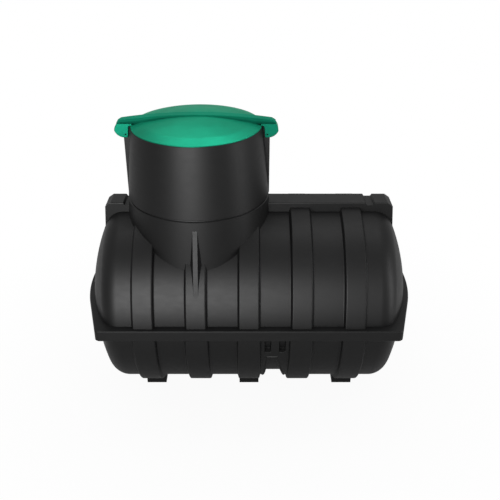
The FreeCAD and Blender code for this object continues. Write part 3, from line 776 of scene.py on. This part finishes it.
def make_world(stage):
    """White to the camera and to mirrors, soft grey light to all else."""
    world = bpy.data.worlds.new("studio")
    bpy.context.scene.world = world
    world.use_nodes = True
    nodes, links = world.node_tree.nodes, world.node_tree.links
    background = nodes["Background"]
    background.inputs["Color"].default_value = (1, 1, 1, 1)
    level = nodes.new("ShaderNodeMapRange")
    level.inputs["To Min"].default_value = stage.ambient
    level.inputs["To Max"].default_value = 1.0
    links.new(background_factor(nodes, links, stage.mirrored), level.inputs["Value"])
    links.new(level.outputs["Result"], background.inputs["Strength"])


def make_lamp(name, radiance, mirrored_only=False, only_on=()):
    """A soft box that looks at the tank, from the table of soft boxes."""
    box = SOFT_BOXES[name]
    width, height = box["width"], box["height"]
    target = Vector((0, 0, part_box("upper_barrel")[0].z))
    turn, lift = math.radians(box["azimuth"]), math.radians(box["elevation"])
    back = Vector((math.sin(turn) * math.cos(lift), -math.cos(turn) * math.cos(lift), math.sin(lift)))
    light = bpy.data.lights.new(name, "AREA")
    light.shape = "RECTANGLE"
    light.size, light.size_y = width, height
    light.energy = radiance * math.pi * width * height
    lamp = bpy.data.objects.new(name, light)
    bpy.context.scene.collection.objects.link(lamp)
    lamp.location = target + back * box["distance"]
    lamp.rotation_mode = "QUATERNION"
    lamp.rotation_quaternion = (-back).to_track_quat("-Z", "Y")
    lamp.visible_camera = False
    lamp.visible_diffuse = not mirrored_only
    if only_on:
        lit = bpy.data.collections.new(f"{name}_lit")
        for piece in only_on:
            lit.objects.link(piece)
        lamp.light_linking.receiver_collection = lit


def make_camera(stage):
    camera = bpy.data.cameras.new("view")
    camera.lens = stage.focal
    camera.sensor_width = 36
    camera.shift_x, camera.shift_y = stage.shift_across, stage.shift_up
    viewer = bpy.data.objects.new("view", camera)
    bpy.context.scene.collection.objects.link(viewer)
    viewer.location = stage.camera_place
    viewer.rotation_euler = (math.pi / 2 - stage.pitch, 0, 0)
    bpy.context.scene.camera = viewer


# Operators and panel

class TANK_OT_barrel(bpy.types.Operator):
    """Build both halves of the ribbed barrel"""

    bl_idname = "tank.barrel"
    bl_label = "Barrel"

    def execute(self, context):
        form = VesselForm(context.scene.tank_vessel)
        upper_barrel(form, black_plastic())
        lower_barrel(form, black_plastic())
        return {"FINISHED"}


class TANK_OT_ends(bpy.types.Operator):
    """Build the two dished ends"""

    bl_idname = "tank.ends"
    bl_label = "Dished ends"

    def execute(self, context):
        form = VesselForm(context.scene.tank_vessel)
        dished_end(form, "left_end", -1, black_plastic())
        dished_end(form, "right_end", 1, black_plastic())
        return {"FINISHED"}


class TANK_OT_lid(bpy.types.Operator):
    """Build the lid's dome and cross bar"""

    bl_idname = "tank.lid"
    bl_label = "Lid"

    def execute(self, context):
        form = LidForm(context.scene.tank_lid)
        lid_dome(form, green_plastic())
        lid_bar(form, bar_plastic())
        return {"FINISHED"}


class TANK_OT_neck(bpy.types.Operator):
    """Build the riser of the neck"""

    bl_idname = "tank.neck"
    bl_label = "Neck"

    def execute(self, context):
        neck_riser(context.scene.tank_neck, black_plastic())
        return {"FINISHED"}


class TANK_OT_finish(bpy.types.Operator):
    """Give the shown parts of the frame their finish"""

    bl_idname = "tank.finish"
    bl_label = "Finishes"

    def execute(self, context):
        for node in frame["nodes"].values():
            on_lid = node["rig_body"] == "lid"
            node.material_slots[0].material = green_plastic() if on_lid else black_plastic()
        return {"FINISHED"}


class TANK_OT_stage(bpy.types.Operator):
    """Set up the floor, the lamps and the camera"""

    bl_idname = "tank.stage"
    bl_label = "Stage"

    def execute(self, context):
        stage = context.scene.tank_stage
        make_floor(stage)
        make_world(stage)
        make_lamp("key", stage.key, mirrored_only=True)
        make_lamp("side", stage.side, mirrored_only=True)
        make_lamp("top", stage.top)
        make_lamp("back", stage.back, mirrored_only=True, only_on=[bpy.data.objects["lid_dome_skin"]])
        make_camera(stage)
        context.scene.view_settings.view_transform = "Standard"
        return {"FINISHED"}


class TANK_PT_panel(bpy.types.Panel):
    """Sidebar panel that lists the steps"""

    bl_idname = "TANK_PT_panel"
    bl_label = "Storage tank"
    bl_space_type = "VIEW_3D"
    bl_region_type = "UI"
    bl_category = "Tank"

    def draw(self, context):
        for operator in OPERATORS:
            self.layout.operator(operator.bl_idname)


OPERATORS = (TANK_OT_barrel, TANK_OT_ends, TANK_OT_neck, TANK_OT_lid, TANK_OT_finish, TANK_OT_stage)
GROUPS = {
    "tank_vessel": TankVesselSizes,
    "tank_neck": TankNeckSizes,
    "tank_lid": TankLidSizes,
    "tank_finish": TankFinish,
    "tank_stage": TankStage,
}


def register():
    for group in GROUPS.values():
        bpy.utils.register_class(group)
    for name, group in GROUPS.items():
        setattr(bpy.types.Scene, name, PointerProperty(type=group))
    for operator in OPERATORS:
        bpy.utils.register_class(operator)
    bpy.utils.register_class(TANK_PT_panel)


def unregister():
    bpy.utils.unregister_class(TANK_PT_panel)
    for operator in reversed(OPERATORS):
        bpy.utils.unregister_class(operator)
    for name in GROUPS:
        delattr(bpy.types.Scene, name)
    for group in reversed(GROUPS.values()):
        bpy.utils.unregister_class(group)


def main():
    register()
    bpy.ops.tank.barrel()
    bpy.ops.tank.ends()
    bpy.ops.tank.neck()
    bpy.ops.tank.lid()
    bpy.ops.tank.finish()
    bpy.ops.tank.stage()


if __name__ == "__main__":
    main()
